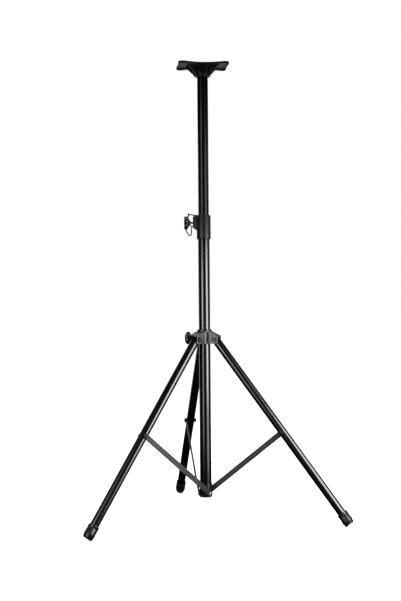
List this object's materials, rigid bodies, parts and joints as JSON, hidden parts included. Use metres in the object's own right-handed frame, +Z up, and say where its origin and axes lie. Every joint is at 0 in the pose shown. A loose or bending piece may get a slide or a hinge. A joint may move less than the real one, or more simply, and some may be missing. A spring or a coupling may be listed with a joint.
{
  "type": "tripod stand",
  "caption": "Folding tripod stand: telescoping pole with a flat top plate, clamp collar with knob and safety pin, sliding hub, hinged legs on flat braces, rubber feet.",
  "frame": {"origin": "on the floor, on the pole's axis, with the stand open", "axes": "+Z up along the pole, +Y towards the rear leg's foot, the left and right legs 120 degrees to either side of it"},
  "size_m": [0.8466, 0.7374, 1.485],
  "materials": {
    "plate_black": "satin black powder coat",
    "inner_tube_black": "gloss black powder coat",
    "outer_tube_black": "gloss black powder coat",
    "leg_black": "gloss black powder coat",
    "brace_grey": "satin dark grey paint",
    "moulded_black": "satin moulded black nylon",
    "bush_black": "plain black acetal",
    "knob_black": "semi-gloss moulded black",
    "nylon_white": "natural nylon",
    "nylon_black": "plain black nylon",
    "foot_rubber": "matt black rubber",
    "zinc_steel": "zinc-plated",
    "dark_steel": "dark plated",
    "pin_steel": "dark plated",
    "crimp_metal": "dull aluminium",
    "brass_shoe": "bare brass",
    "lanyard_black": "black sheathed wire"
  },
  "bodies": {
    "stand": {"outer_tube": "outer_tube_black", "clamp_collar": "moulded_black", "collar_bush": "bush_black", "collar_pad": "brass_shoe", "lanyard": "lanyard_black", "lanyard_ferrule": "crimp_metal", "lanyard_stud": "zinc_steel", "foot_collar": "moulded_black", "foot_collar_screw": "dark_steel"},
    "inner_pole": {"inner_tube": "inner_tube_black", "guide_bush": "nylon_white"},
    "head": {"top_plate": "plate_black", "head_gussets": "plate_black", "head_socket": "plate_black", "head_screw": "dark_steel"},
    "collar_clamp": {"collar_screw": "zinc_steel", "collar_knob": "knob_black"},
    "safety_pin": {"safety_pin": "pin_steel"},
    "hub": {"hub_body": "moulded_black", "hub_bush": "bush_black", "hub_pad": "brass_shoe", "leg_pivot_bolts": "dark_steel", "leg_pivot_nuts": "dark_steel"},
    "hub_clamp": {"hub_screw": "zinc_steel", "hub_knob": "knob_black"},
    "leg_rear": {"leg_tube_rear": "leg_black", "leg_plug_rear": "nylon_black", "rubber_foot_rear": "foot_rubber", "brace_bolt_rear": "dark_steel", "brace_nut_rear": "dark_steel", "brace_sleeve_rear": "crimp_metal"},
    "brace_rear": {"brace_bar_rear": "brace_grey", "brace_foot_screw_rear": "dark_steel"},
    "leg_left": {"leg_tube_left": "leg_black", "leg_plug_left": "nylon_black", "rubber_foot_left": "foot_rubber", "brace_bolt_left": "dark_steel", "brace_nut_left": "dark_steel", "brace_sleeve_left": "crimp_metal"},
    "brace_left": {"brace_bar_left": "brace_grey", "brace_foot_screw_left": "dark_steel"},
    "leg_right": {"leg_tube_right": "leg_black", "leg_plug_right": "nylon_black", "rubber_foot_right": "foot_rubber", "brace_bolt_right": "dark_steel", "brace_nut_right": "dark_steel", "brace_sleeve_right": "crimp_metal"},
    "brace_right": {"brace_bar_right": "brace_grey", "brace_foot_screw_right": "dark_steel"}
  },
  "joints": [
    {"name": "inner_slide", "type": "slide", "parent": "stand", "child": "inner_pole", "axis": [0, 0, 1], "range_m": [-0.443, 0.335]},
    {"name": "head_turn", "type": "hinge", "parent": "inner_pole", "child": "head", "pos_m": [0, 0, 1.46], "axis": [0, 0, 1], "continuous": true},
    {"name": "collar_knob_turn", "type": "hinge", "parent": "stand", "child": "collar_clamp", "pos_m": [-0.04891, 0.0104, 0.967], "axis": [-0.9781, 0.2079, 0], "continuous": true},
    {"name": "pin_pull", "type": "slide", "parent": "stand", "child": "safety_pin", "axis": [-0.9568, 0.2034, 0.2079], "range_m": [0, 0.015]},
    {"name": "hub_slide", "type": "slide", "parent": "stand", "child": "hub", "axis": [0, 0, 1], "range_m": [0, 0.1925]},
    {"name": "hub_knob_turn", "type": "hinge", "parent": "hub", "child": "hub_clamp", "pos_m": [-0.0433, 0.025, 0.5902], "axis": [-0.866, 0.5, 0], "continuous": true},
    {"name": "leg_fold_rear", "type": "hinge", "parent": "hub", "child": "leg_rear", "pos_m": [0, 0.038, 0.5852], "axis": [-1, 0, 0], "range_deg": [0, 34.05]},
    {"name": "brace_fold_rear", "type": "hinge", "parent": "leg_rear", "child": "brace_rear", "pos_m": [0, 0.25926, 0.29265], "axis": [1, 0, 0], "range_deg": [0, 75.16]},
    {"name": "leg_fold_left", "type": "hinge", "parent": "hub", "child": "leg_left", "pos_m": [-0.03291, -0.019, 0.5852], "axis": [0.5, -0.866, 0], "range_deg": [0, 34.05]},
    {"name": "brace_fold_left", "type": "hinge", "parent": "leg_left", "child": "brace_left", "pos_m": [-0.22452, -0.12963, 0.29265], "axis": [-0.5, 0.866, 0], "range_deg": [0, 75.16]},
    {"name": "leg_fold_right", "type": "hinge", "parent": "hub", "child": "leg_right", "pos_m": [0.03291, -0.019, 0.5852], "axis": [0.5, 0.866, 0], "range_deg": [0, 34.05]},
    {"name": "brace_fold_right", "type": "hinge", "parent": "leg_right", "child": "brace_right", "pos_m": [0.22452, -0.12963, 0.29265], "axis": [-0.5, -0.866, 0], "range_deg": [0, 75.16]}
  ],
  "couplings": [
    {"joint": "leg_fold_rear", "follows": "hub_slide", "rad_per_m": 3.0875},
    {"joint": "brace_fold_rear", "follows": "hub_slide", "rad_per_m": 6.8147},
    {"joint": "leg_fold_left", "follows": "hub_slide", "rad_per_m": 3.0875},
    {"joint": "brace_fold_left", "follows": "hub_slide", "rad_per_m": 6.8147},
    {"joint": "leg_fold_right", "follows": "hub_slide", "rad_per_m": 3.0875},
    {"joint": "brace_fold_right", "follows": "hub_slide", "rad_per_m": 6.8147}
  ]
}
